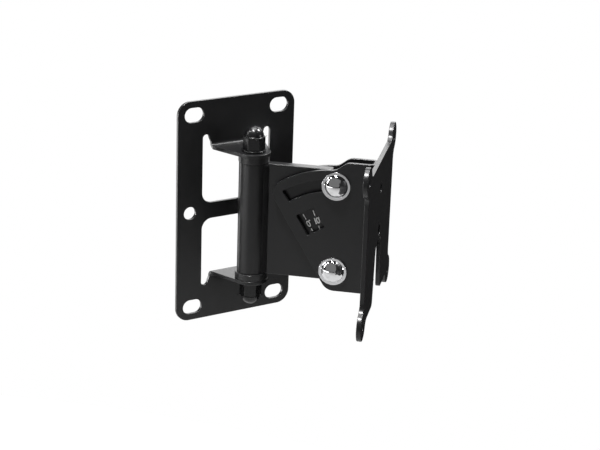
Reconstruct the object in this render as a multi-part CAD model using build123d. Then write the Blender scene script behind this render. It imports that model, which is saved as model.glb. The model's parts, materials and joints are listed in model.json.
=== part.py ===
from build123d import *

import os
from math import asin, atan2, cos, degrees, hypot, radians, sin, sqrt

# Speaker wall bracket: a folded wall plate, an arm that swivels on it and a head that tilts on the arm.
# Millimetres, +Z up. The origin is the middle of the wall plate's back face, and +Y points into the wall.

# Fits
RUNNING_GAP = 0.05
FACE_GAP = 0.1
HOLE_GAP = 0.25
THREAD_GAP = 0.03
NECK_PLAY = 0.4

# Hinge
HINGE_OUT = 32.5
TUBE_LENGTH = 100.0
TUBE_OD = 25.0
TUBE_WALL = 3.0
STUD_D = 10.0
FLANGE = 6.0
UPPER_FLANGE_LIP = 0.5
LOWER_FLANGE_LIP = 1.7
FLANGE_CHAMFER = 0.5
BARREL = 14.0
WASHER_R = 10.5
WASHER_T = 2.0
NUT_AF = 17.0
CAP_HEX = 11.5
CAP_DOME_STEP = 0.15
CAP_CROWN = 5.3
CAP_BEVEL_DOWN = 0.9
CAP_BEVEL_IN = 1.3
CAP_TURN = 28.0

TUBE_HALF = TUBE_LENGTH / 2
TUBE_ID = TUBE_OD - 2 * TUBE_WALL

# Wall plate, with its two lugs folded out of the windows
SHEET = 3.0
BEND_INNER = 3.0
WALL_WIDTH = 115.0
WALL_ABOVE_FOLD = 38.0
WALL_CORNER = 12.0
WALL_SLOT_LENGTH = 18.5
WALL_SLOT_WIDTH = 13.0
WALL_SLOT_IN = 15.7
WALL_SLOT_DOWN = 12.2
SIDE_HOLE = 11.6
SIDE_HOLE_IN = 12.3
SIDE_RAIL = 24.2
CROSSBAR = 14.4
WINDOW_CORNER = 9.5
LUG_NOSE = 14.6
RELIEF_WIDTH = 8.3
RELIEF_SLANT = 1.8
RELIEF_RISE = 7.3

BEND_OUTER = BEND_INNER + SHEET
LUG_INNER = TUBE_HALF + FLANGE
LUG_OUTER = LUG_INNER + SHEET
FOLD_Z = LUG_OUTER + BEND_INNER
WALL_HALF = FOLD_Z + WALL_ABOVE_FOLD
WINDOW_HALF = WALL_WIDTH / 2 - SIDE_RAIL
LUG_ROOT = WINDOW_HALF - RELIEF_WIDTH

# Bolts
BOLT_D = 10.0
RIM_R = 12.3
RIM_T = 1.8
RIM_BEVEL = 0.6
DOME_R = 10.2
DOME_H = 5.4
NUT_H = 8.4
NUT_BEVEL_DOWN = 0.7
NUT_BEVEL_IN = 1.2
CLAMP_NUT_TURN = 12.0
TILT_NUT_TURN = 40.0
LOCK_T = 2.2
LOCK_R = 9.0
LOCK_SPLIT = 0.8
LOCK_SLANT = 35.0
BOLT_END = 3.0
END_CHAMFER = 0.8

# Tilt joint
TILT_MAX = 30.0
CLAMP_DOWN = 13.0
TILT_UP = 10.2
END_PLAY = 0.2
SPACER_T = 1.5
SPACER_R = 9.0

CLAMP_Z = TUBE_HALF - CLAMP_DOWN
TILT_Z = TILT_UP - TUBE_HALF
SPACING = CLAMP_Z - TILT_Z
ARC_SLOT = BOLT_D + 2 * NECK_PLAY
NECK_ANGLE = degrees(atan2(BOLT_D / 2, SPACING - ARC_SLOT / 2))

# Head
HEAD_LIP = 8.2
TOP_LAND = 8.25
LOBE_R = 12.2
LOBE_CLEAR = 6.7
LOBE_TURN = 1.4
LOW_CORNER_R = 12.0
LOW_CORNER_SIDE = 1.2
RISE_START = -0.8
RISE_END = 8.8
RISE_BLEND = 10.0
WEB_REACH = 33.2
WEB_HOLE = 9.0
VIEW_LAND = 13.5
VIEW_LENGTH = 20.3
VIEW_WIDTH = 17.0
VIEW_SIDE = 4.0
VIEW_CORNER = 1.2
VIEW_TURN = 1.5
POINTER_H = 2.8
POINTER_W = 4.0
HEAD_WELD_LEG = 1.6
HEAD_WELD_TOE = 0.75
HEAD_WELD_END = 4.0

HEAD_HALF = TUBE_HALF + HEAD_LIP
TOP_R = SPACING + ARC_SLOT / 2 + TOP_LAND
SLOT_LEFT = TILT_MAX + NECK_ANGLE + END_PLAY
SLOT_RIGHT = -NECK_ANGLE - 2 * END_PLAY
LOBE_ANGLE = SLOT_LEFT - LOBE_TURN
BOLT_X = TUBE_OD / 2 + LOBE_CLEAR + LOBE_R + (TOP_R - LOBE_R) * sin(radians(LOBE_ANGLE))
WEB_X = BOLT_X + WEB_REACH
VIEW_HIGH = SPACING - ARC_SLOT / 2 - VIEW_LAND

# Arm
ARM_T = 8.0
STEP_BACK = 4.3
STEP_CORNER = 1.5
TOP_LOBE = 9.6
WELD_LEG = 3.0
WELD_HOLLOW = 0.35
WELD_END = 0.6
REST_SWIVEL = 47.3

GAP = ARM_T + 2 * SPACER_T
CHEEK_OUT = GAP / 2 + SHEET
STEP_X = BOLT_X - STEP_BACK

# Speaker plate
PLATE_T = 4.0
PLATE_LIP = 4.3
EAR_S = 69.5
EAR_R = 12.5
EAR_HOLE = 7.0
EAR_STEP = 1.5
EAR_BLEND = 9.0
NOTCH_TOP = -10.0
NOTCH_TOP_WIDTH = 29.0
NOTCH_LOW_WIDTH = 44.0
NOTCH_ROUND = 8.0
NOTCH_MOUTH = 5.0
UPPER_HOLE = 10.0
UPPER_HOLE_DOWN = 25.0
MIDDLE_HOLE = 11.6

EAR_Z = HEAD_HALF + PLATE_LIP
UPPER_HOLE_Z = EAR_Z - UPPER_HOLE_DOWN

# Length of a cutter that only has to pass right through
THROUGH = 400.0


def polar(centre, radius, angle):
    """Point at a radius and an angle in degrees, counted counterclockwise from +X."""
    return centre[0] + radius * cos(radians(angle)), centre[1] + radius * sin(radians(angle))


def arc(centre, radius, start, end):
    return ThreePointArc(polar(centre, radius, start), polar(centre, radius, (start + end) / 2),
                         polar(centre, radius, end))


def ring(outer, inner, height, z=0.0):
    """Flat ring that stands on z."""
    return Pos(0, 0, z + height / 2) * (Cylinder(outer, height) - Cylinder(inner, 2 * height))


def round_edges(solid):
    return solid.edges().filter_by(GeomType.CIRCLE)


def near(vertices, points, reach=0.5):
    """The vertices of a sketch that lie at the given points."""
    return [v for v in vertices if any(hypot(v.X - x, v.Y - y) < reach for x, y in points)]


def hexagon(height):
    return extrude(RegularPolygon(NUT_AF / 2, 6, major_radius=False), height)


def hexagon_corner():
    return NUT_AF / 2 / cos(radians(30))


# Wall plate
def window_sketch():
    """Upper window, with rounded lower corners and a relief notch on each side of the fold."""
    height = FOLD_Z - CROSSBAR / 2
    window = Pos(0, CROSSBAR / 2 + height / 2) * Rectangle(2 * WINDOW_HALF, height)
    low = [(side * WINDOW_HALF, CROSSBAR / 2) for side in (-1, 1)]
    window = fillet(near(window.vertices(), low), WINDOW_CORNER)
    inner = LUG_ROOT + RELIEF_SLANT
    radius = (WINDOW_HALF - inner) / 2
    top = FOLD_Z + RELIEF_RISE - radius
    root = FOLD_Z - SHEET / 2
    for side in (-1, 1):
        slope = Polyline((side * WINDOW_HALF, root), (side * WINDOW_HALF, top), (side * inner, top),
                         (side * LUG_ROOT, FOLD_Z), (side * LUG_ROOT, root), close=True)
        window = window + make_face(slope) + Pos(side * (WINDOW_HALF - radius), top) * Circle(radius)
    return window


def lug_sketch():
    """Plan of a lug: wide at the fold, tapering to a round nose about the hinge axis."""
    drop = HINGE_OUT - BEND_OUTER
    reach = hypot(LUG_ROOT, drop)
    turn = degrees(atan2(-drop, LUG_ROOT)) - degrees(asin(LUG_NOSE / reach))
    tangent = polar((-LUG_ROOT, -BEND_OUTER), sqrt(reach ** 2 - LUG_NOSE ** 2), turn)
    outline = Polyline((-LUG_ROOT, -BEND_OUTER), tangent, (0, -HINGE_OUT), (-tangent[0], tangent[1]),
                       (LUG_ROOT, -BEND_OUTER), close=True)
    nose = Pos(0, -HINGE_OUT) * (Circle(LUG_NOSE) - Circle(STUD_D / 2 + HOLE_GAP))
    return make_face(outline) - Pos(0, -HINGE_OUT) * Circle(STUD_D / 2 + HOLE_GAP) + nose


def lug():
    """Upper lug with its quarter-round fold."""
    quarter = Circle(BEND_OUTER) - Circle(BEND_INNER)
    quarter = quarter & Pos(BEND_OUTER, -BEND_OUTER) * Rectangle(2 * BEND_OUTER, 2 * BEND_OUTER)
    fold = Pos(0, -BEND_OUTER, FOLD_Z) * extrude(Plane.YZ * quarter, LUG_ROOT, both=True)
    return fold + Pos(0, 0, LUG_INNER) * extrude(lug_sketch(), SHEET)


def wall_plate():
    face = RectangleRounded(WALL_WIDTH, 2 * WALL_HALF, WALL_CORNER)
    slot_x = WALL_WIDTH / 2 - WALL_SLOT_IN
    slot_z = WALL_HALF - WALL_SLOT_DOWN
    face -= GridLocations(2 * slot_x, 2 * slot_z, 2, 2) * SlotOverall(WALL_SLOT_LENGTH, WALL_SLOT_WIDTH)
    face -= GridLocations(WALL_WIDTH - 2 * SIDE_HOLE_IN, 1, 2, 1) * Circle(SIDE_HOLE / 2)
    face -= window_sketch()
    face -= mirror(window_sketch(), Plane.XZ)
    return extrude(Plane.XZ * face, SHEET) + lug() + mirror(lug(), Plane.XY)


# Hinge
def at_axis(shape):
    return Pos(0, -HINGE_OUT, 0) * shape


def cap_nut():
    """Domed hexagon nut that stands on z = 0, bored from below."""
    blank = Pos(0, 0, CAP_HEX / 2) * Cylinder(hexagon_corner(), CAP_HEX)
    blank = chamfer(round_edges(blank).group_by(Axis.Z)[-1], CAP_BEVEL_DOWN, CAP_BEVEL_IN)
    dome_r = NUT_AF / 2 - CAP_DOME_STEP
    body = (hexagon(CAP_HEX) & blank) + Pos(0, 0, CAP_HEX) * Sphere(dome_r)
    depth = CAP_HEX + dome_r - CAP_CROWN
    return Rot(0, 0, CAP_TURN) * (body - Pos(0, 0, depth / 2) * Cylinder(STUD_D / 2 + THREAD_GAP, depth))


def stud_half():
    """The stud ends just short of the bottom of each cap nut's bore."""
    return LUG_OUTER + WASHER_T + CAP_HEX + NUT_AF / 2 - CAP_DOME_STEP - CAP_CROWN - HOLE_GAP


def bush(lip):
    """Flanged bush: the flange stands on z = 0 and the barrel hangs into the tube."""
    height = FLANGE - FACE_GAP
    flange = Pos(0, 0, height / 2) * Cylinder(TUBE_OD / 2 + lip, height)
    flange = chamfer(round_edges(flange), FLANGE_CHAMFER)
    barrel = Pos(0, 0, -BARREL / 2) * Cylinder(TUBE_ID / 2 - THREAD_GAP, BARREL)
    return flange + barrel - Cylinder(STUD_D / 2 + RUNNING_GAP, THROUGH)


def hinge_parts():
    washer = ring(WASHER_R, STUD_D / 2 + HOLE_GAP, WASHER_T, LUG_OUTER)
    stud = chamfer(round_edges(Cylinder(STUD_D / 2, 2 * stud_half())), END_CHAMFER)
    nut = Pos(0, 0, LUG_OUTER + WASHER_T) * cap_nut()
    return {
        "hinge_stud": at_axis(stud),
        "upper_cap_nut": at_axis(nut),
        "lower_cap_nut": at_axis(mirror(nut, Plane.XY)),
        "upper_hinge_washer": at_axis(washer),
        "lower_hinge_washer": at_axis(mirror(washer, Plane.XY)),
        "upper_bush": at_axis(Pos(0, 0, TUBE_HALF) * bush(UPPER_FLANGE_LIP)),
        "lower_bush": at_axis(mirror(Pos(0, 0, TUBE_HALF) * bush(LOWER_FLANGE_LIP), Plane.XY)),
    }


# Arm
def swung(shape):
    """Moves a piece drawn along +X from the hinge axis to where it stands in the bracket."""
    return Pos(0, -HINGE_OUT, 0) * Rot(0, 0, REST_SWIVEL - 90) * shape


def upright(sketch, thickness, y=0.0):
    """Stands a sketch of (x, z) up on the XZ plane, centred on y."""
    return Pos(0, y, 0) * extrude(Plane.XZ * sketch, thickness / 2, both=True)


def arm_sketch():
    """Side view of the arm: a stepped top corner at the clamp bolt and a round end about each bolt."""
    clamp, tilt = (BOLT_X, CLAMP_Z), (BOLT_X, TILT_Z)
    step_z = CLAMP_Z + sqrt(TOP_LOBE ** 2 - STEP_BACK ** 2)
    main = Pos(STEP_X / 2, 0) * Rectangle(STEP_X, TUBE_LENGTH)
    end = Polyline((STEP_X / 2, -TUBE_HALF), (BOLT_X, -TUBE_HALF), (BOLT_X + TILT_UP, TILT_Z),
                   (BOLT_X + TOP_LOBE, CLAMP_Z), (BOLT_X, CLAMP_Z + TOP_LOBE), (STEP_X, step_z),
                   (STEP_X / 2, step_z), close=True)
    shape = main + make_face(end) + Pos(*clamp) * Circle(TOP_LOBE) + Pos(*tilt) * Circle(TILT_UP)
    shape = fillet(near(shape.vertices(), [(STEP_X, TUBE_HALF)]), STEP_CORNER)
    for centre in (clamp, tilt):
        shape -= Pos(*centre) * Circle(BOLT_D / 2 + RUNNING_GAP)
    return shape


def arm_plate():
    return upright(arm_sketch(), ARM_T) - Cylinder(TUBE_OD / 2, THROUGH)


def arm_weld(side):
    """Hollow bead in the corner between the tube and one face of the arm."""
    radius, face = TUBE_OD / 2, ARM_T / 2
    high = face + WELD_LEG
    foot = (sqrt(radius ** 2 - face ** 2) + WELD_LEG, side * face)
    head = (sqrt(radius ** 2 - high ** 2), side * high)
    hollow = ((foot[0] + head[0]) / 2 - WELD_HOLLOW, side * (face + WELD_LEG / 2 - WELD_HOLLOW))
    root = head[0] - TUBE_WALL / 2
    back = Polyline(head, (root, side * high), (root, side * face), foot)
    bead = extrude(make_face(ThreePointArc(foot, hollow, head) + back), TUBE_HALF - WELD_END, both=True)
    return bead - Cylinder(radius, THROUGH)


def spacer_pair(z):
    """Thin washers that fill the room between the arm and the two cheeks."""
    spacer = ring(SPACER_R, BOLT_D / 2 + HOLE_GAP, SPACER_T - RUNNING_GAP)
    places = [Pos(BOLT_X, side * ARM_T / 2, z) * Rot(-side * 90, 0, 0) for side in (-1, 1)]
    return Compound([swung(place * spacer) for place in places])


def arm_parts():
    return {
        "hinge_tube": swung(ring(TUBE_OD / 2, TUBE_ID / 2, TUBE_LENGTH, -TUBE_HALF)),
        "arm_plate": swung(arm_plate()),
        "arm_weld": Compound([swung(arm_weld(side)) for side in (-1, 1)]),
        "clamp_spacers": spacer_pair(CLAMP_Z),
        "tilt_spacers": spacer_pair(TILT_Z),
    }


# Head
def cheek_sketch():
    """Side view of the head: a band round the arc slot, a raised top at the plate and a slanted rear edge."""
    pivot = (BOLT_X, TILT_Z)
    lobe = polar(pivot, TOP_R - LOBE_R, 90 + LOBE_ANGLE)
    low = (BOLT_X + LOW_CORNER_SIDE, LOW_CORNER_R - HEAD_HALF)
    dx, dz = low[0] - lobe[0], low[1] - lobe[1]
    tangent = degrees(atan2(dz, dx)) - 90 - degrees(asin((LOW_CORNER_R - LOBE_R) / hypot(dx, dz)))
    rise_angle = degrees(atan2(sqrt(TOP_R ** 2 - RISE_START ** 2), RISE_START))
    start = polar(pivot, TOP_R, rise_angle)
    end = (BOLT_X + RISE_END, HEAD_HALF)
    edges = [
        Line((low[0], -HEAD_HALF), (WEB_X, -HEAD_HALF)),
        Line((WEB_X, -HEAD_HALF), (WEB_X, HEAD_HALF)),
        Line((WEB_X, HEAD_HALF), end),
        Line(end, start),
        arc(pivot, TOP_R, rise_angle, 90 + LOBE_ANGLE),
        arc(lobe, LOBE_R, 90 + LOBE_ANGLE, 360 + tangent),
        Line(polar(lobe, LOBE_R, tangent), polar(low, LOW_CORNER_R, tangent)),
        arc(low, LOW_CORNER_R, 360 + tangent, 270),
    ]
    outline = make_face(Curve() + edges)
    return fillet(near(outline.vertices(), [end, start]), RISE_BLEND)


def arc_slot_sketch():
    """Arc slot about the tilt bolt, with straight radial ends."""
    pivot = (BOLT_X, TILT_Z)
    band = Pos(*pivot) * (Circle(SPACING + ARC_SLOT / 2) - Circle(SPACING - ARC_SLOT / 2))
    far = 2 * SPACING
    wedge = make_face(Polyline(pivot, polar(pivot, far, 90 + SLOT_RIGHT), polar(pivot, far, 90 + SLOT_LEFT),
                               close=True))
    return band & wedge


def view_sketch():
    """Window over the tilt scale, with a small pointer that stands on its lower edge."""
    low = VIEW_HIGH - VIEW_LENGTH
    window = Pos(VIEW_WIDTH / 2 - VIEW_SIDE, low + VIEW_LENGTH / 2)
    window = window * RectangleRounded(VIEW_WIDTH, VIEW_LENGTH, VIEW_CORNER)
    half, under = POINTER_W / 2, low - VIEW_CORNER
    pointer = make_face(Polyline((-half, under), (half, under), (half, low), (0, low + POINTER_H),
                                 (-half, low), close=True))
    return Pos(BOLT_X, TILT_Z) * Rot(0, 0, TILT_MAX + VIEW_TURN) * (window - pointer)


def rounded_end(half, end, radius):
    """Plan of a bar from the hinge axis to x = end, with both far corners rounded."""
    bar = Pos(end / 2, 0) * Rectangle(end, 2 * half)
    return fillet(near(bar.vertices(), [(end, half), (end, -half)]), radius)


def channel_plan():
    """Plan of the folded channel: two cheeks and the web that lies on the speaker plate."""
    return rounded_end(CHEEK_OUT, WEB_X, BEND_OUTER) - rounded_end(GAP / 2, WEB_X - SHEET, BEND_INNER)


def head_channel():
    body = extrude(channel_plan(), HEAD_HALF, both=True) & upright(cheek_sketch() - arc_slot_sketch(), THROUGH)
    pin = Rot(90, 0, 0) * Cylinder(BOLT_D / 2 + HOLE_GAP, THROUGH)
    square_side = BOLT_D + 2 * HOLE_GAP
    square = Pos(0, -CHEEK_OUT, 0) * Box(square_side, 2 * SHEET, square_side)
    body = body - Pos(BOLT_X, 0, TILT_Z) * pin - Pos(BOLT_X, 0, TILT_Z) * square
    body -= upright(view_sketch(), 2 * SHEET, -CHEEK_OUT)
    for z in (UPPER_HOLE_Z, 0):
        body -= Pos(WEB_X, 0, z) * Rot(0, 90, 0) * Cylinder(WEB_HOLE / 2, 4 * SHEET)
    return body


def plate_sketch():
    """Speaker plate from the front: four round ears and a notch that is open at the bottom."""
    body_half = EAR_S - EAR_STEP
    ears = GridLocations(2 * EAR_S, 2 * EAR_Z, 2, 2)
    shape = Rectangle(2 * body_half, 2 * EAR_Z) + ears * Circle(EAR_R)
    across = EAR_S - EAR_R
    down = EAR_Z - sqrt(EAR_R ** 2 - EAR_STEP ** 2)
    corners = [(x * across, z * EAR_Z) for x in (-1, 1) for z in (-1, 1)]
    corners += [(x * body_half, z * down) for x in (-1, 1) for z in (-1, 1)]
    shape = fillet(near(shape.vertices(), corners), EAR_BLEND)
    top = [(side * NOTCH_TOP_WIDTH / 2, NOTCH_TOP) for side in (-1, 1)]
    mouth = [(side * NOTCH_LOW_WIDTH / 2, -EAR_Z) for side in (-1, 1)]
    notch = make_face(Polyline(mouth[0], top[0], top[1], mouth[1], close=True))
    shape -= fillet(near(notch.vertices(), top), NOTCH_ROUND)
    shape = fillet(near(shape.vertices(), mouth), NOTCH_MOUTH)
    shape -= ears * Circle(EAR_HOLE / 2)
    return shape - Pos(0, UPPER_HOLE_Z) * Circle(UPPER_HOLE / 2) - Circle(MIDDLE_HOLE / 2)


def head_weld(side):
    """Bead in the groove between one bend of the channel and the speaker plate."""
    root = CHEEK_OUT - BEND_OUTER
    bend = WEB_X - BEND_OUTER
    outline = Polyline((WEB_X, side * (root + HEAD_WELD_LEG)), (WEB_X, side * (CHEEK_OUT + HEAD_WELD_LEG)),
                       (WEB_X - BEND_OUTER / 2, side * (CHEEK_OUT + HEAD_WELD_LEG / 2)),
                       (bend + HEAD_WELD_TOE, side * CHEEK_OUT), (bend, side * root), close=True)
    bead = extrude(make_face(outline), HEAD_HALF - HEAD_WELD_END, both=True)
    return bead - extrude(rounded_end(CHEEK_OUT, WEB_X, BEND_OUTER), HEAD_HALF, both=True)


def head_parts():
    plate = Pos(WEB_X, 0, 0) * extrude(Plane.YZ * plate_sketch(), PLATE_T)
    return {
        "head_channel": swung(head_channel()),
        "speaker_plate": swung(plate),
        "head_weld": Compound([swung(head_weld(side)) for side in (-1, 1)]),
    }


# Bolts
def bolt(length):
    """Domed bolt with a flat rim and a square neck. The rim sits on z = 0 and the shank hangs below."""
    rim = Pos(0, 0, RIM_T / 2) * Cylinder(RIM_R, RIM_T)
    rim = chamfer(round_edges(rim).group_by(Axis.Z)[-1], RIM_BEVEL)
    ball = (DOME_R ** 2 + DOME_H ** 2) / (2 * DOME_H)
    dome = Pos(0, 0, RIM_T + DOME_H - ball) * Sphere(ball)
    dome = dome & Pos(0, 0, RIM_T + DOME_H) * Cylinder(RIM_R, 2 * DOME_H)
    neck = Pos(0, 0, -SHEET / 2) * Box(BOLT_D, BOLT_D, SHEET)
    shank = Pos(0, 0, -length / 2) * Cylinder(BOLT_D / 2, length)
    shank = chamfer(round_edges(shank).group_by(Axis.Z)[0], END_CHAMFER)
    return rim + dome + neck + shank


def hex_nut():
    blank = Pos(0, 0, NUT_H / 2) * Cylinder(hexagon_corner(), NUT_H)
    blank = chamfer(round_edges(blank), NUT_BEVEL_DOWN, NUT_BEVEL_IN)
    return (hexagon(NUT_H) & blank) - Cylinder(BOLT_D / 2 + THREAD_GAP, THROUGH)


def lock_washer():
    """Spring washer with its slanted split."""
    washer = ring(LOCK_R, BOLT_D / 2 + HOLE_GAP, LOCK_T)
    return washer - Pos(LOCK_R, 0, LOCK_T / 2) * Rot(LOCK_SLANT, 0, 0) * Box(2 * LOCK_R, LOCK_SPLIT, 4 * LOCK_T)


def bolt_set(name, z, turn):
    """Bolt from the near side, with a flat washer, a spring washer and a nut on the far side."""
    seat = CHEEK_OUT + RUNNING_GAP
    length = 2 * seat + WASHER_T + LOCK_T + NUT_H + BOLT_END
    near_side = Pos(BOLT_X, -seat, z) * Rot(90, 0, 0)
    far_side = Pos(BOLT_X, seat, z) * Rot(-90, 0, 0)
    return {
        f"{name}_bolt": swung(near_side * bolt(length)),
        f"{name}_washer": swung(far_side * ring(WASHER_R, BOLT_D / 2 + HOLE_GAP, WASHER_T)),
        f"{name}_lock_washer": swung(far_side * Pos(0, 0, WASHER_T) * Rot(0, 0, turn) * lock_washer()),
        f"{name}_nut": swung(far_side * Pos(0, 0, WASHER_T + LOCK_T) * Rot(0, 0, turn) * hex_nut()),
    }


# Export
def main():
    os.makedirs("parts", exist_ok=True)
    parts = {"wall_plate": wall_plate()}
    parts.update(hinge_parts())
    parts.update(arm_parts())
    parts.update(head_parts())
    parts.update(bolt_set("clamp", CLAMP_Z, CLAMP_NUT_TURN))
    parts.update(bolt_set("tilt", TILT_Z, TILT_NUT_TURN))
    for name, shape in parts.items():
        export_step(shape, f"parts/{name}.step")


main()
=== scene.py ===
import json
from math import asin, atan2, cos, pi, radians, sin, sqrt

import bmesh
import bpy
from mathutils import Matrix, Vector


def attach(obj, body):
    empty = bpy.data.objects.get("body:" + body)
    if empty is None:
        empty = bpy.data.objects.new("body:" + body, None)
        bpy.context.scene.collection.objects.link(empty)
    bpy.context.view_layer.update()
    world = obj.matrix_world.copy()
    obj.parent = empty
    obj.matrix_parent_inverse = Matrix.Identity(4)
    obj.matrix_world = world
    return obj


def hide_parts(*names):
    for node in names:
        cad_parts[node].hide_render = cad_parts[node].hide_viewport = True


# Speaker wall bracket: a wall plate, an arm that swivels on it and a head that tilts on the arm.
# The frame's sizes are in metres, with +Z up and the wall at y = 0.
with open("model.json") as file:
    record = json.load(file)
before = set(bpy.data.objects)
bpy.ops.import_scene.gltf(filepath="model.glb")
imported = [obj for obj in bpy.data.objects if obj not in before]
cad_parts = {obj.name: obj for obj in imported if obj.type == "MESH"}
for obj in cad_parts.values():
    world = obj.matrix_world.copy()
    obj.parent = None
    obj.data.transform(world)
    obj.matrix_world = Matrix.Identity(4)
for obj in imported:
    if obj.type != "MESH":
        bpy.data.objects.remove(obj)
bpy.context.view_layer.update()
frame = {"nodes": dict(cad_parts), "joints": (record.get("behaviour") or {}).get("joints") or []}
MM = 0.001

# Camera
# It stands in front and a little to the left, above the bracket, and leans by two degrees.
# The photograph's frame is 600 by 450.
CAMERA_AZIMUTH = radians(-32.180)
CAMERA_HEIGHT = radians(19.538)
CAMERA_LEAN = radians(2.0)
CAMERA_DISTANCE = 1437.2 * MM
CAMERA_LEFT = 58.234 * MM
CAMERA_DROP = 17.474 * MM
LENS_MM = 97.914
SENSOR_MM = 36.0

back = Vector((sin(CAMERA_AZIMUTH) * cos(CAMERA_HEIGHT), -cos(CAMERA_AZIMUTH) * cos(CAMERA_HEIGHT),
               sin(CAMERA_HEIGHT)))
level = Vector((0, 0, 1)).cross(back).normalized()
upright = back.cross(level)
across = level * cos(CAMERA_LEAN) + upright * sin(CAMERA_LEAN)
upward = upright * cos(CAMERA_LEAN) - level * sin(CAMERA_LEAN)
camera = bpy.data.objects.new("camera", bpy.data.cameras.new("camera"))
camera.data.lens = LENS_MM
camera.data.sensor_width = SENSOR_MM
camera.matrix_world = Matrix.Translation(back * CAMERA_DISTANCE + across * CAMERA_LEFT
                                         - upward * CAMERA_DROP) @ Matrix(
    (across, upward, back)).transposed().to_4x4()
bpy.context.scene.collection.objects.link(camera)
bpy.context.scene.camera = camera

# Wall plate
# One 3 mm steel sheet, cut and folded: the two lugs that carry the hinge are pressed out of its windows.
# It is coated all over in satin black powder, which rounds each cut edge a little.
SHEET_EASE = 0.35 * MM
EASE_STEPS = 3
SHARP = radians(30)
FLAT = radians(0.6)
MERGE = 0.002 * MM
COAT_TONE = (0.0075, 0.0075, 0.008)
COAT_ROUGHNESS = 0.31
PEEL_GRAIN = 620.0
PEEL_DEPTH = 0.006 * MM
PATCH_GRAIN = 55.0
PATCH_DULL = 0.035
PATCH_PALE = 0.1


def add_node(tree, kind, **settings):
    """Adds a node. Each setting goes to the node's attribute of that name, or else to its input."""
    node = tree.nodes.new(kind)
    for name, value in settings.items():
        if hasattr(node, name):
            setattr(node, name, value)
        else:
            node.inputs[name.replace("_", " ")].default_value = value
    return node


def wire(tree, source, target):
    """Joins two sockets, each given as (node, socket name)."""
    tree.links.new(source[0].outputs[source[1]], target[0].inputs[target[1]])


def coat_skin():
    """Skin of a powder coat: a soft ripple, and patches that are a little duller or paler."""
    group = bpy.data.node_groups.new("coat_skin", "ShaderNodeTree")
    for name, kind in (("Tone", "NodeSocketColor"), ("Dullness", "NodeSocketFloat"),
                       ("Grain", "NodeSocketFloat"), ("Depth", "NodeSocketFloat")):
        group.interface.new_socket(name=name, in_out="INPUT", socket_type=kind)
    for name, kind in (("Color", "NodeSocketColor"), ("Roughness", "NodeSocketFloat"),
                       ("Normal", "NodeSocketVector")):
        group.interface.new_socket(name=name, in_out="OUTPUT", socket_type=kind)
    given = add_node(group, "NodeGroupInput")
    result = add_node(group, "NodeGroupOutput")
    place = add_node(group, "ShaderNodeTexCoord")
    ripple = add_node(group, "ShaderNodeTexNoise", Detail=1.0, Roughness=0.5)
    patches = add_node(group, "ShaderNodeTexNoise", Scale=PATCH_GRAIN, Detail=3.0)
    bump = add_node(group, "ShaderNodeBump", Strength=1.0)
    duller = add_node(group, "ShaderNodeMapRange", To_Min=-PATCH_DULL, To_Max=PATCH_DULL)
    total = add_node(group, "ShaderNodeMath", operation="ADD")
    paler = add_node(group, "ShaderNodeMapRange", To_Min=1 - PATCH_PALE, To_Max=1 + PATCH_PALE)
    tone = add_node(group, "ShaderNodeVectorMath", operation="SCALE")
    wire(group, (place, "Object"), (ripple, "Vector"))
    wire(group, (place, "Object"), (patches, "Vector"))
    wire(group, (given, "Grain"), (ripple, "Scale"))
    wire(group, (given, "Depth"), (bump, "Distance"))
    wire(group, (ripple, "Fac"), (bump, "Height"))
    wire(group, (patches, "Fac"), (duller, "Value"))
    wire(group, (patches, "Fac"), (paler, "Value"))
    group.links.new(given.outputs["Dullness"], total.inputs[0])
    group.links.new(duller.outputs["Result"], total.inputs[1])
    group.links.new(given.outputs["Tone"], tone.inputs[0])
    wire(group, (paler, "Result"), (tone, "Scale"))
    wire(group, (tone, "Vector"), (result, "Color"))
    wire(group, (total, "Value"), (result, "Roughness"))
    wire(group, (bump, "Normal"), (result, "Normal"))
    return group


COAT_SKIN = coat_skin()


def coat(name, tone=COAT_TONE, roughness=COAT_ROUGHNESS, grain=PEEL_GRAIN, depth=PEEL_DEPTH):
    """Powder coat or moulded black plastic, which differ in tone, gloss and skin."""
    material = bpy.data.materials.new(name)
    material.use_nodes = True
    tree = material.node_tree
    shader = tree.nodes["Principled BSDF"]
    skin = add_node(tree, "ShaderNodeGroup", node_tree=COAT_SKIN)
    skin.inputs["Tone"].default_value = (*tone, 1)
    skin.inputs["Dullness"].default_value = roughness
    skin.inputs["Grain"].default_value = grain
    skin.inputs["Depth"].default_value = depth
    wire(tree, (skin, "Color"), (shader, "Base Color"))
    wire(tree, (skin, "Roughness"), (shader, "Roughness"))
    wire(tree, (skin, "Normal"), (shader, "Normal"))
    return material


def shaded(mesh, ease=0.0):
    """The mesh with its sharp edges rounded, if an ease is given, and with flat faces that shade flat."""
    shape = bmesh.new()
    shape.from_mesh(mesh)
    for face in shape.faces:
        face.smooth = True
    for edge in shape.edges:
        edge.smooth = bool(ease) or len(edge.link_faces) != 2 or edge.calc_face_angle() < SHARP
    shape.to_mesh(mesh)
    shape.free()
    blank = bpy.data.objects.new("blank", mesh)
    bpy.context.scene.collection.objects.link(blank)
    if ease:
        bevel = blank.modifiers.new("ease", "BEVEL")
        bevel.width = ease
        bevel.segments = EASE_STEPS
        bevel.limit_method = "ANGLE"
        bevel.angle_limit = SHARP
        bevel.use_clamp_overlap = False
        bevel.miter_outer = "MITER_ARC"
    weighted = blank.modifiers.new("weighted", "WEIGHTED_NORMAL")
    weighted.keep_sharp = True
    result = bpy.data.meshes.new_from_object(blank.evaluated_get(bpy.context.evaluated_depsgraph_get()))
    bpy.data.objects.remove(blank)
    return result


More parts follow.
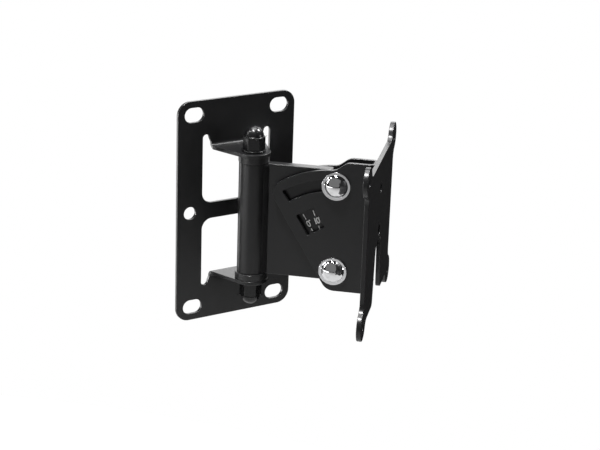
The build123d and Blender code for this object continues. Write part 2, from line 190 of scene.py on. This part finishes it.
def merged(node):
    """A copy of a node's form, with its triangles joined into whole faces."""
    shape = bmesh.new()
    shape.from_mesh(frame["nodes"][node].data)
    bmesh.ops.remove_doubles(shape, verts=shape.verts, dist=MERGE)
    bmesh.ops.dissolve_limit(shape, angle_limit=FLAT, verts=shape.verts, edges=shape.edges)
    mesh = bpy.data.meshes.new(node + "_form")
    shape.to_mesh(mesh)
    shape.free()
    return mesh


def add_piece(name, mesh, body, slot, material, *nodes):
    """Puts a finished mesh on its body, in its finish, in place of the nodes that it stands for."""
    mesh.materials.clear()
    mesh.materials.append(material)
    piece = bpy.data.objects.new(name, mesh)
    bpy.context.scene.collection.objects.link(piece)
    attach(piece, body)
    if nodes:
        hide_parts(*nodes)


plate_coat = coat("plate_coat")
add_piece("folded_wall_plate", shaded(merged("wall_plate"), SHEET_EASE), "wall", "plate_coat", plate_coat,
          "wall_plate")

# Hinge stud, washers and cap nuts
# A zinc-plated M10 stud runs through the whole hinge, and its ends are hidden in two glossy black cap nuts.
# A flat black washer lies between each nut and its lug.
TURN_STEPS = 128
ROUND_STEPS = 4
WASHER_EASE = 0.45 * MM
NUT_EASE = 0.5 * MM
BOLT_HOLE = 5.25 * MM
NUT_TONE = (0.006, 0.006, 0.0065)
NUT_ROUGHNESS = 0.25
NUT_GRAIN = 900.0
NUT_DEPTH = 0.004 * MM
ZINC_TONE = (0.60, 0.61, 0.63)
ZINC_DARK = (0.42, 0.43, 0.45)
ZINC_SMOOTHEST = 0.24
ZINC_DULLEST = 0.40
ZINC_GRAIN = 900.0
ZINC_DEPTH = 0.006 * MM


def local_box(node, place):
    """Lowest and highest corners of a node, measured along the axes of a place."""
    inverse = place.inverted()
    points = [inverse @ vertex.co for vertex in frame["nodes"][node].data.vertices]
    low = Vector([min(point[axis] for point in points) for axis in range(3)])
    high = Vector([max(point[axis] for point in points) for axis in range(3)])
    return low, high


def rounded(points, ease):
    """A closed outline with each of its corners drawn as a short curve."""
    outline = []
    for index, corner in enumerate(points):
        corner = Vector(corner)
        before = Vector(points[index - 1]) - corner
        after = Vector(points[(index + 1) % len(points)]) - corner
        start = corner + before.normalized() * min(ease, before.length / 2)
        end = corner + after.normalized() * min(ease, after.length / 2)
        for step in range(ROUND_STEPS + 1):
            share = step / ROUND_STEPS
            outline.append(start.lerp(corner, share).lerp(corner.lerp(end, share), share))
    return outline


def turned(outline, place, steps=TURN_STEPS):
    """Mesh turned about a place's z axis. The outline is (radius, height) points, and closes itself."""
    shape = bmesh.new()
    rings = []
    for radius, height in outline:
        if radius < MERGE:
            rings.append([shape.verts.new(place @ Vector((0, 0, height)))] * steps)
        else:
            turns = [2 * pi * step / steps for step in range(steps)]
            rings.append([shape.verts.new(place @ Vector((radius * cos(t), radius * sin(t), height)))
                          for t in turns])
    for ring, following in zip(rings, rings[1:] + rings[:1]):
        for step in range(steps):
            after = (step + 1) % steps
            corners = list(dict.fromkeys((ring[step], ring[after], following[after], following[step])))
            if len(corners) > 2:
                shape.faces.new(corners)
    bmesh.ops.recalc_face_normals(shape, faces=shape.faces)
    mesh = bpy.data.meshes.new("turned")
    shape.to_mesh(mesh)
    shape.free()
    return mesh


def turned_ring(node, place, hole, ease):
    """A washer, spacer or tube as wide and long as its node, with a hole of a given radius."""
    low, high = local_box(node, place)
    outer = (high.x - low.x) / 2
    section = [(hole, low.z), (outer, low.z), (outer, high.z), (hole, high.z)]
    return shaded(turned(rounded(section, ease), place))


def zinc():
    """Zinc plating: bright, with a faint mottle."""
    material = bpy.data.materials.new("zinc")
    material.use_nodes = True
    tree = material.node_tree
    shader = tree.nodes["Principled BSDF"]
    shader.inputs["Metallic"].default_value = 1.0
    place = add_node(tree, "ShaderNodeTexCoord")
    mottle = add_node(tree, "ShaderNodeTexNoise", Scale=ZINC_GRAIN, Detail=3.0)
    tone = add_node(tree, "ShaderNodeMix", data_type="RGBA")
    gloss = add_node(tree, "ShaderNodeMapRange", To_Min=ZINC_SMOOTHEST, To_Max=ZINC_DULLEST)
    bump = add_node(tree, "ShaderNodeBump", Strength=1.0, Distance=ZINC_DEPTH)
    tone.inputs["A"].default_value = (*ZINC_DARK, 1)
    tone.inputs["B"].default_value = (*ZINC_TONE, 1)
    wire(tree, (place, "Object"), (mottle, "Vector"))
    wire(tree, (mottle, "Fac"), (tone, "Factor"))
    wire(tree, (mottle, "Fac"), (gloss, "Value"))
    wire(tree, (mottle, "Fac"), (bump, "Height"))
    wire(tree, (tone, "Result"), (shader, "Base Color"))
    wire(tree, (gloss, "Result"), (shader, "Roughness"))
    wire(tree, (bump, "Normal"), (shader, "Normal"))
    return material


joints = {joint["name"]: joint for joint in frame["joints"]}
hinge_point = Vector(joints["swivel"]["pos_m"])
hinge_place = Matrix.Translation(hinge_point)
zinc_plate = zinc()
nut_black = coat("nut_black", NUT_TONE, NUT_ROUGHNESS, NUT_GRAIN, NUT_DEPTH)
frame["nodes"]["hinge_stud"].data.materials.clear()
frame["nodes"]["hinge_stud"].data.materials.append(zinc_plate)
for side in ("upper", "lower"):
    washer = turned_ring(side + "_hinge_washer", hinge_place, BOLT_HOLE, WASHER_EASE)
    add_piece(side + "_lug_washer", washer, "wall", "black_nut", nut_black, side + "_hinge_washer")
    nut = shaded(merged(side + "_cap_nut"), NUT_EASE)
    add_piece(side + "_dome_nut", nut, "wall", "black_nut", nut_black, side + "_cap_nut")

# Hinge tube and bushes
# The arm's round tube turns on two flanged plastic bushes that are pushed into its ends.
# The lower flange carries the load and is the wider one.
TUBE_EASE = 0.5 * MM
BUSH_EASE = 0.6 * MM
STUD_FIT = 5.05 * MM
TUBE_BORE = 9.5 * MM
BUSH_TONE = (0.016, 0.016, 0.0165)
BUSH_ROUGHNESS = 0.30
BUSH_GRAIN = 1400.0
BUSH_DEPTH = 0.003 * MM

arm_coat = coat("arm_coat")
tube = turned_ring("hinge_tube", hinge_place, TUBE_BORE, TUBE_EASE)
add_piece("swivel_tube", tube, "arm", "arm_coat", arm_coat, "hinge_tube")
bush_black = coat("bush_black", BUSH_TONE, BUSH_ROUGHNESS, BUSH_GRAIN, BUSH_DEPTH)
tube_low, tube_high = local_box("hinge_tube", hinge_place)
for side, end, sign in (("upper", tube_high.z, 1), ("lower", tube_low.z, -1)):
    low, high = local_box(side + "_bush", hinge_place)
    flange = (high.x - low.x) / 2
    outside, inside = (high.z, low.z) if sign > 0 else (low.z, high.z)
    section = [(STUD_FIT, inside), (TUBE_BORE, inside), (TUBE_BORE, end), (flange, end), (flange, outside),
               (STUD_FIT, outside)]
    add_piece(side + "_flanged_bush", shaded(turned(rounded(section, BUSH_EASE), hinge_place)), "arm", "bush",
              bush_black, side + "_bush")

# Arm plate
# An 8 mm plate with a stepped top corner, its rear edge cut to the tube and welded along both faces.
# It wears the same satin black coat as the tube.
ARM_EASE = 0.5 * MM

tilt_pivot = Vector(joints["tilt"]["pos_m"])
along = Vector((tilt_pivot.x - hinge_point.x, tilt_pivot.y - hinge_point.y, 0)).normalized()
away = Vector((0, 0, 1)).cross(along)
arm_place = Matrix((along, away, Vector((0, 0, 1)))).transposed().to_4x4()
arm_place.translation = hinge_point
pivot = arm_place.inverted() @ tilt_pivot
add_piece("welded_arm", shaded(merged("arm_plate"), ARM_EASE), "arm", "arm_coat", arm_coat, "arm_plate")

# Tilt scale
# White numbers with degree dots, and short marks, are printed on the near face of the arm, on arcs about
# a point just above the tilt bolt's axis. The window in the head shows the number for its tilt.
SCALE_STEP = 10
SCALE_COUNT = 4
SCALE_START = 31.5
SCALE_LIFT = 1.0 * MM
LABEL_RADIUS = 44.5 * MM
LABEL_HEIGHT = 7.6 * MM
LABEL_NARROW = 0.86
LABEL_BOLD = 0.19 * MM
LABEL_SPACING = 0.74
DOT_STEPS = 16
DOT_RADIUS = 0.7 * MM
DOT_UP = 2.6 * MM
DOT_GAP = 0.5 * MM
UPPER_MARK = (49.3 * MM, 54.5 * MM)
LOWER_MARK = (36.5 * MM, 40.0 * MM)
MARK_WIDTH = 0.65 * MM
PRINT_T = 0.03 * MM
PRINT_TONE = (0.95, 0.95, 0.94, 1)
PRINT_THIN = (0.84, 0.84, 0.83, 1)
PRINT_ROUGHNESS = 0.55
PRINT_GRAIN = 2200.0


def print_paint():
    """Screen-printed white paint, a little thin in places."""
    material = bpy.data.materials.new("print_paint")
    material.use_nodes = True
    tree = material.node_tree
    shader = tree.nodes["Principled BSDF"]
    shader.inputs["Roughness"].default_value = PRINT_ROUGHNESS
    place = add_node(tree, "ShaderNodeTexCoord")
    thin = add_node(tree, "ShaderNodeTexNoise", Scale=PRINT_GRAIN, Detail=2.0)
    tone = add_node(tree, "ShaderNodeMix", data_type="RGBA")
    tone.inputs["A"].default_value = PRINT_THIN
    tone.inputs["B"].default_value = PRINT_TONE
    wire(tree, (place, "Object"), (thin, "Vector"))
    wire(tree, (thin, "Fac"), (tone, "Factor"))
    wire(tree, (tone, "Result"), (shader, "Base Color"))
    return material


def scale_place(angle, radius, face):
    """Place on the arm's near face at a radius from the scale's centre, with up pointing away from it."""
    turn = radians(angle)
    outward = Vector((-sin(turn), 0, cos(turn)))
    sideways = Vector((cos(turn), 0, sin(turn)))
    place = Matrix((sideways, outward, Vector((0, -1, 0)))).transposed().to_4x4()
    place.translation = Vector((pivot.x, face, pivot.z + SCALE_LIFT)) + outward * radius
    return arm_place @ place


def flat_bar(width, length, place):
    """Thin printed bar, centred on its place."""
    shape = bmesh.new()
    bmesh.ops.create_cube(shape, size=1.0, matrix=place @ Matrix.Diagonal((width, length, 2 * PRINT_T, 1)))
    mesh = bpy.data.meshes.new("bar")
    shape.to_mesh(mesh)
    shape.free()
    return mesh


def printed_text(words, place):
    """Numbers as thin raised print, with their width."""
    curve = bpy.data.curves.new("words", "FONT")
    curve.body = words
    curve.size = LABEL_HEIGHT
    curve.align_x = "CENTER"
    curve.align_y = "CENTER"
    curve.extrude = PRINT_T
    curve.offset = LABEL_BOLD
    curve.space_character = LABEL_SPACING
    blank = bpy.data.objects.new("words", curve)
    bpy.context.scene.collection.objects.link(blank)
    bpy.context.view_layer.update()
    mesh = bpy.data.meshes.new_from_object(blank.evaluated_get(bpy.context.evaluated_depsgraph_get()))
    width = max(v.co.x for v in mesh.vertices) - min(v.co.x for v in mesh.vertices)
    bpy.data.objects.remove(blank)
    mesh.transform(place @ Matrix.Diagonal((LABEL_NARROW, 1, 1, 1)))
    return mesh, width * LABEL_NARROW


def joined(name, meshes):
    """Several meshes as one."""
    shape = bmesh.new()
    for mesh in meshes:
        shape.from_mesh(mesh)
    whole = bpy.data.meshes.new(name)
    shape.to_mesh(whole)
    shape.free()
    return whole


arm_low, arm_high = local_box("arm_plate", arm_place)
prints = []
for index in range(SCALE_COUNT):
    angle = SCALE_START - index * SCALE_STEP
    label_place = scale_place(angle, LABEL_RADIUS, arm_low.y)
    number, width = printed_text(str(index * SCALE_STEP), label_place)
    prints.append(number)
    dot_place = label_place @ Matrix.Translation((width / 2 + DOT_GAP, DOT_UP, 0))
    dot = [(0, -PRINT_T), (DOT_RADIUS, -PRINT_T), (DOT_RADIUS, PRINT_T), (0, PRINT_T)]
    prints.append(turned(dot, dot_place, DOT_STEPS))
    for inner, outer in (UPPER_MARK, LOWER_MARK):
        middle = scale_place(angle, (inner + outer) / 2, arm_low.y)
        prints.append(flat_bar(MARK_WIDTH, outer - inner, middle))
add_piece("tilt_scale", joined("tilt_scale", prints), "arm", "arm_coat", print_paint())

# Welds
# Two beads hold the arm to its tube, and two more the head to the speaker plate, laid in overlapping ripples.
# They were made before the coat, and wear it too.
RIPPLE_PITCH = 1.5 * MM
RIPPLE_RISE = 0.22 * MM
RIPPLE_TILT = radians(24)
RIPPLE_SEED = 5
RIPPLE_NARROWEST = 0.88
RIPPLE_WIDEST = 1.12
BALL_SEGMENTS = 20
BALL_RINGS = 10


def ripple_tree():
    """Geometry nodes that lay flattened balls along a line, all leaning one way, of slightly uneven width."""
    tree = bpy.data.node_groups.new("weld_ripples", "GeometryNodeTree")
    tree.interface.new_socket(name="Geometry", in_out="INPUT", socket_type="NodeSocketGeometry")
    for name in ("Pitch", "Width", "Rise", "Tilt"):
        tree.interface.new_socket(name=name, in_out="INPUT", socket_type="NodeSocketFloat")
    tree.interface.new_socket(name="Seed", in_out="INPUT", socket_type="NodeSocketInt")
    tree.interface.new_socket(name="Material", in_out="INPUT", socket_type="NodeSocketMaterial")
    tree.interface.new_socket(name="Geometry", in_out="OUTPUT", socket_type="NodeSocketGeometry")
    given = add_node(tree, "NodeGroupInput")
    result = add_node(tree, "NodeGroupOutput")
    line = add_node(tree, "GeometryNodeMeshToCurve")
    spaced = add_node(tree, "GeometryNodeResampleCurve", mode="LENGTH")
    ball = add_node(tree, "GeometryNodeMeshUVSphere", Segments=BALL_SEGMENTS, Rings=BALL_RINGS, Radius=1.0)
    laid = add_node(tree, "GeometryNodeInstanceOnPoints")
    lean = add_node(tree, "ShaderNodeCombineXYZ")
    size = add_node(tree, "ShaderNodeCombineXYZ")
    uneven = add_node(tree, "FunctionNodeRandomValue", data_type="FLOAT")
    uneven.inputs[2].default_value = RIPPLE_NARROWEST
    uneven.inputs[3].default_value = RIPPLE_WIDEST
    wide = add_node(tree, "ShaderNodeMath", operation="MULTIPLY")
    smooth = add_node(tree, "GeometryNodeSetShadeSmooth")
    real = add_node(tree, "GeometryNodeRealizeInstances")
    painted = add_node(tree, "GeometryNodeSetMaterial")
    wire(tree, (given, "Geometry"), (line, "Mesh"))
    wire(tree, (line, "Curve"), (spaced, "Curve"))
    wire(tree, (given, "Pitch"), (spaced, "Length"))
    wire(tree, (spaced, "Curve"), (laid, "Points"))
    wire(tree, (ball, "Mesh"), (laid, "Instance"))
    wire(tree, (given, "Tilt"), (lean, "X"))
    wire(tree, (lean, "Vector"), (laid, "Rotation"))
    wire(tree, (given, "Seed"), (uneven, "Seed"))
    tree.links.new(given.outputs["Width"], wide.inputs[0])
    tree.links.new(uneven.outputs[1], wide.inputs[1])
    wire(tree, (wide, "Value"), (size, "X"))
    wire(tree, (given, "Rise"), (size, "Y"))
    wire(tree, (given, "Pitch"), (size, "Z"))
    wire(tree, (size, "Vector"), (laid, "Scale"))
    wire(tree, (laid, "Instances"), (real, "Geometry"))
    wire(tree, (real, "Geometry"), (smooth, "Geometry"))
    wire(tree, (smooth, "Geometry"), (painted, "Geometry"))
    wire(tree, (given, "Material"), (painted, "Material"))
    wire(tree, (painted, "Geometry"), (result, "Geometry"))
    return tree


RIPPLES = ripple_tree()


def ripples(foot, head, half_length, material):
    """Ripples over a bead whose surface spans foot to head, two points of (x, y) in the arm's plan."""
    foot, head = Vector(foot), Vector(head)
    middle = (foot + head) / 2
    turn = atan2(head.y - foot.y, head.x - foot.x)
    line = bpy.data.meshes.new("line")
    line.from_pydata([(0, 0, -half_length), (0, 0, half_length)], [(0, 1)], [])
    blank = bpy.data.objects.new("line", line)
    bpy.context.scene.collection.objects.link(blank)
    modifier = blank.modifiers.new("ripples", "NODES")
    modifier.node_group = RIPPLES
    values = {"Pitch": RIPPLE_PITCH, "Width": (head - foot).length / 2, "Rise": RIPPLE_RISE,
              "Tilt": RIPPLE_TILT, "Seed": RIPPLE_SEED, "Material": material}
    for item in RIPPLES.interface.items_tree:
        if item.name in values:
            modifier[item.identifier] = values[item.name]
    bpy.context.view_layer.update()
    mesh = bpy.data.meshes.new_from_object(blank.evaluated_get(bpy.context.evaluated_depsgraph_get()))
    bpy.data.objects.remove(blank)
    place = Matrix.Translation((middle.x, middle.y, 0)) @ Matrix.Rotation(turn, 4, "Z")
    mesh.transform(arm_place @ place)
    return mesh


def beads(node, foot, head, material):
    """Both beads of a weld: the node's own form, with ripples on its open face, which spans foot to head."""
    low, high = local_box(node, arm_place)
    half_length = (high.z - low.z) / 2 - RIPPLE_PITCH
    meshes = [merged(node)]
    for side in (1, -1):
        meshes.append(ripples((foot[0], side * foot[1]), (head[0], side * head[1]), half_length, material))
    return shaded(joined(node + "_beads", meshes))


weld_high = local_box("arm_weld", arm_place)[1]
tube_radius = (tube_high.x - tube_low.x) / 2
weld_top = (sqrt(tube_radius ** 2 - weld_high.y ** 2), weld_high.y)
arm_beads = beads("arm_weld", (weld_high.x, arm_high.y), weld_top, arm_coat)
add_piece("arm_weld_beads", arm_beads, "arm", "arm_coat", arm_coat, "arm_weld")

# Head channel
# A 3 mm sheet folded to a U round the arm, with an arc slot in each cheek for the clamp bolt.
# The near cheek has the scale window, with its small pointer.
head_coat = coat("head_coat")
add_piece("folded_channel", shaded(merged("head_channel"), SHEET_EASE), "head", "head_coat", head_coat,
          "head_channel")

# Speaker plate
# A 4 mm plate with four round ears for the speaker's screws, welded to the web of the channel.
# Its notch is open at the bottom, and its two middle holes lie over holes in the web.
PLATE_EASE = 0.45 * MM

add_piece("eared_plate", shaded(merged("speaker_plate"), PLATE_EASE), "head", "head_coat", head_coat,
          "speaker_plate")
head_weld_low, head_weld_high = local_box("head_weld", arm_place)
plate_low = local_box("speaker_plate", arm_place)[0]
channel_high = local_box("head_channel", arm_place)[1]
weld_foot = (plate_low.x, head_weld_high.y)
weld_head = (head_weld_low.x, channel_high.y)
head_beads = beads("head_weld", weld_foot, weld_head, head_coat)
add_piece("head_weld_beads", head_beads, "head", "head_coat", head_coat, "head_weld")

# Bolts
# Two polished M10 bolts with a low dome on a flat rim. The upper one clamps the tilt, the lower one is its
# pivot. The washers, spring washers and nuts on the far side are zinc-plated, and the thin washers beside
# the arm are black plastic.
RIM_T = 1.8 * MM
RIM_EASE = 0.35 * MM
DOME_R = 10.2 * MM
DOME_STEPS = 24
SHANK_R = 5.0 * MM
END_BEVEL = 0.8 * MM
PITCH = 1.5 * MM
THREAD_DEPTH = 0.75 * MM
THREAD_LENGTH = 13.0 * MM
THREAD_STEPS = 10
NECK = 10.0 * MM
NECK_EASE = 0.6 * MM
NECK_HEIGHT = 3.0 * MM
SPACER_EASE = 0.2 * MM
SPACER_TONE = (0.02, 0.02, 0.021)
SPACER_ROUGHNESS = 0.5
SPACER_GRAIN = 1500.0
SPACER_DEPTH = 0.002 * MM
STEEL_TONE = (0.80, 0.80, 0.81)
STEEL_ROUGHNESS = 0.04
STEEL_SPREAD = 0.03
STEEL_GRAIN = 260.0
STEEL_DEPTH = 0.01 * MM


def polished_steel():
    """Polished steel with a faint unevenness."""
    material = bpy.data.materials.new("polished_steel")
    material.use_nodes = True
    tree = material.node_tree
    shader = tree.nodes["Principled BSDF"]
    shader.inputs["Metallic"].default_value = 1.0
    shader.inputs["Base Color"].default_value = (*STEEL_TONE, 1)
    place = add_node(tree, "ShaderNodeTexCoord")
    cloud = add_node(tree, "ShaderNodeTexNoise", Scale=STEEL_GRAIN, Detail=2.0)
    gloss = add_node(tree, "ShaderNodeMapRange", To_Min=STEEL_ROUGHNESS - STEEL_SPREAD,
                     To_Max=STEEL_ROUGHNESS + STEEL_SPREAD)
    bump = add_node(tree, "ShaderNodeBump", Strength=1.0, Distance=STEEL_DEPTH)
    wire(tree, (place, "Object"), (cloud, "Vector"))
    wire(tree, (cloud, "Fac"), (gloss, "Value"))
    wire(tree, (cloud, "Fac"), (bump, "Height"))
    wire(tree, (gloss, "Result"), (shader, "Roughness"))
    wire(tree, (bump, "Normal"), (shader, "Normal"))
    return material


def screw_thread(place, start, end):
    """Threaded end of a bolt along the z axis of a place, from start to end, with a bevelled tip."""
    steps = TURN_STEPS // 2
    rows = int((end - start) / PITCH * THREAD_STEPS)
    shape = bmesh.new()
    rings = []
    for row in range(rows + 1):
        height = start + (end - start) * row / rows
        ring = []
        for step in range(steps):
            wave = (height / PITCH - step / steps) % 1.0
            depth = THREAD_DEPTH * abs(2 * wave - 1)
            run_out = min(1.0, (height - start) / PITCH)
            tip = SHANK_R - max(0.0, END_BEVEL - (end - height))
            radius = min(SHANK_R - depth * run_out, tip)
            turn = 2 * pi * step / steps
            ring.append(shape.verts.new(place @ Vector((radius * cos(turn), radius * sin(turn), height))))
        rings.append(ring)
    for ring, following in zip(rings, rings[1:]):
        for step in range(steps):
            after = (step + 1) % steps
            shape.faces.new((ring[step], ring[after], following[after], following[step]))
    shape.faces.new(reversed(rings[0]))
    shape.faces.new(rings[-1])
    bmesh.ops.recalc_face_normals(shape, faces=shape.faces)
    mesh = bpy.data.meshes.new("thread")
    shape.to_mesh(mesh)
    shape.free()
    return mesh


def domed_bolt(top, rim, tail, place):
    """Domed head that sits on z = 0 of its place, with the plain part of its shank hanging below."""
    rise = top - RIM_T
    ball = (DOME_R ** 2 + rise ** 2) / (2 * rise)
    half = asin(DOME_R / ball)
    dome = [(ball * sin(half * step / DOME_STEPS), top - ball + ball * cos(half * step / DOME_STEPS))
            for step in range(DOME_STEPS + 1)]
    edge = rounded([(0, RIM_T), (rim, RIM_T), (rim, 0), (0, 0)], RIM_EASE)
    edge = [point for point in edge if point[0] > DOME_R and point[1] > 0]
    shank_end = THREAD_LENGTH - tail - PITCH
    shank = [(rim, 0), (SHANK_R, 0), (SHANK_R, shank_end), (0, shank_end)]
    return turned([*dome, *edge, *shank], place)


def neck(place, height):
    """Square neck under the head, with eased corners."""
    shape = bmesh.new()
    middle = place @ Matrix.Translation((0, 0, -height / 2))
    bmesh.ops.create_cube(shape, size=1.0, matrix=middle @ Matrix.Diagonal((NECK, NECK, height, 1)))
    mesh = bpy.data.meshes.new("neck")
    shape.to_mesh(mesh)
    shape.free()
    return shaded(mesh, NECK_EASE)


steel = polished_steel()
spacer_black = coat("spacer_black", SPACER_TONE, SPACER_ROUGHNESS, SPACER_GRAIN, SPACER_DEPTH)
for name, body in (("clamp", "arm"), ("tilt", "head")):
    low, high = local_box(name + "_bolt", arm_place)
    rim = (high.z - low.z) / 2
    axis = Matrix.Translation(((low.x + high.x) / 2, 0, (low.z + high.z) / 2))
    seat = local_box(name + "_washer", arm_place)[0].y
    near_side = arm_place @ axis @ Matrix.Translation((0, -seat, 0)) @ Matrix.Rotation(pi / 2, 4, "X")
    far_side = near_side @ Matrix.Rotation(pi, 4, "X")
    top, tail = -seat - low.y, high.y + seat
    blank = domed_bolt(top, rim, tail, near_side)
    thread = screw_thread(far_side, tail - THREAD_LENGTH, tail)
    whole = shaded(joined(name + "_bolt", [blank, thread, neck(near_side, NECK_HEIGHT)]))
    add_piece(name + "_domed_bolt", whole, body, "polished", steel, name + "_bolt")
    washer = turned_ring(name + "_washer", far_side, BOLT_HOLE, WASHER_EASE)
    add_piece(name + "_flat_washer", washer, body, "zinc", zinc_plate, name + "_washer")
    for node, ease in ((name + "_lock_washer", WASHER_EASE), (name + "_nut", NUT_EASE)):
        form = shaded(merged(node), ease)
        add_piece(node.replace("lock", "spring") + "_zinc", form, body, "zinc", zinc_plate, node)
    spacers = shaded(merged(name + "_spacers"), SPACER_EASE)
    add_piece(name + "_thin_spacers", spacers, "arm", "spacer", spacer_black, name + "_spacers")

# Floor and light
# A round pale table lies well below the bracket and reaches furthest to its front and left. Small strong
# lamps stand overhead and at the sides, and wide soft ones behind and at the left.
FLOOR_DROP = 0.35
FLOOR_RADIUS = 1.25
FLOOR_T = 0.02
FLOOR_LEFT = 0.85
FLOOR_FRONT = 0.55
FLOOR_TONE = 0.34
FLOOR_ROUGHNESS = 0.9
ROOM_TONE = 0.02

# Each lamp has an azimuth and a height in degrees, a distance, width and depth in metres, and a radiance.
LAMPS = {
    "overhead": (-60, 74, 1.3, 0.15, 0.15, 340),
    "overhead_left": (-112, 50, 1.3, 0.12, 0.12, 90),
    "overhead_behind": (150, 74, 1.3, 0.8, 0.8, 6),
    "behind": (148, 22, 1.7, 2.2, 0.9, 2.7),
    "behind_left": (-121, 20, 1.6, 0.13, 0.8, 12),
    "right_high": (80, 50, 1.4, 0.35, 0.35, 60),
    "right_low": (45, 5, 1.5, 0.12, 0.2, 24),
    "left_low": (-134, -3, 1.5, 0.22, 0.4, 36),
    "left_card": (-92, -17, 1.5, 1.2, 0.35, 6),
    "back_card": (-145, -14, 1.4, 1.0, 0.5, 2.5),
    "left_wall": (-60, 30, 2.2, 4.6, 3.2, 0.17),
}


def floor_paint():
    """Paint that is white to the camera, and plain and pale to all other rays."""
    material = bpy.data.materials.new("floor_paint")
    material.use_nodes = True
    tree = material.node_tree
    shader = tree.nodes["Principled BSDF"]
    shader.inputs["Base Color"].default_value = (FLOOR_TONE, FLOOR_TONE, FLOOR_TONE, 1)
    shader.inputs["Roughness"].default_value = FLOOR_ROUGHNESS
    shader.inputs["Emission Color"].default_value = (1, 1, 1, 1)
    rays = add_node(tree, "ShaderNodeLightPath")
    wire(tree, (rays, "Is Camera Ray"), (shader, "Emission Strength"))
    return material


def room():
    """World that is white to the camera and through glass, and a dim studio to every other ray."""
    world = bpy.data.worlds.new("room")
    world.use_nodes = True
    tree = world.node_tree
    sky = tree.nodes["Background"]
    rays = add_node(tree, "ShaderNodeLightPath")
    seen = add_node(tree, "ShaderNodeMath", operation="MAXIMUM")
    tone = add_node(tree, "ShaderNodeMapRange", To_Min=ROOM_TONE, To_Max=1.0)
    tree.links.new(rays.outputs["Is Camera Ray"], seen.inputs[0])
    tree.links.new(rays.outputs["Is Transmission Ray"], seen.inputs[1])
    wire(tree, (seen, "Value"), (tone, "Value"))
    wire(tree, (tone, "Result"), (sky, "Strength"))
    sky.inputs["Color"].default_value = (1, 1, 1, 1)
    return world


def lamp(name, azimuth, height, distance, width, depth, radiance):
    """Soft lamp that faces the bracket. Azimuth 0 is straight in front and 90 is to the right, in degrees."""
    light = bpy.data.lights.new(name, "AREA")
    light.shape = "RECTANGLE"
    light.size = width
    light.size_y = depth
    light.energy = radiance * pi * width * depth
    turn, rise = radians(azimuth), radians(height)
    source = bpy.data.objects.new(name, light)
    source.location = (distance * sin(turn) * cos(rise), -distance * cos(turn) * cos(rise),
                       distance * sin(rise))
    source.rotation_euler = source.location.to_track_quat("Z", "Y").to_euler()
    source.visible_camera = False
    bpy.context.scene.collection.objects.link(source)


disc = turned([(0, -FLOOR_DROP), (FLOOR_RADIUS, -FLOOR_DROP), (FLOOR_RADIUS, -FLOOR_DROP - FLOOR_T),
               (0, -FLOOR_DROP - FLOOR_T)], Matrix.Translation((-FLOOR_LEFT, -FLOOR_FRONT, 0)))
floor = bpy.data.objects.new("floor", disc)
disc.materials.append(floor_paint())
bpy.context.scene.collection.objects.link(floor)
bpy.context.scene.world = room()
for name, numbers in LAMPS.items():
    lamp(name, *numbers)
bpy.context.scene.view_settings.view_transform = "Standard"
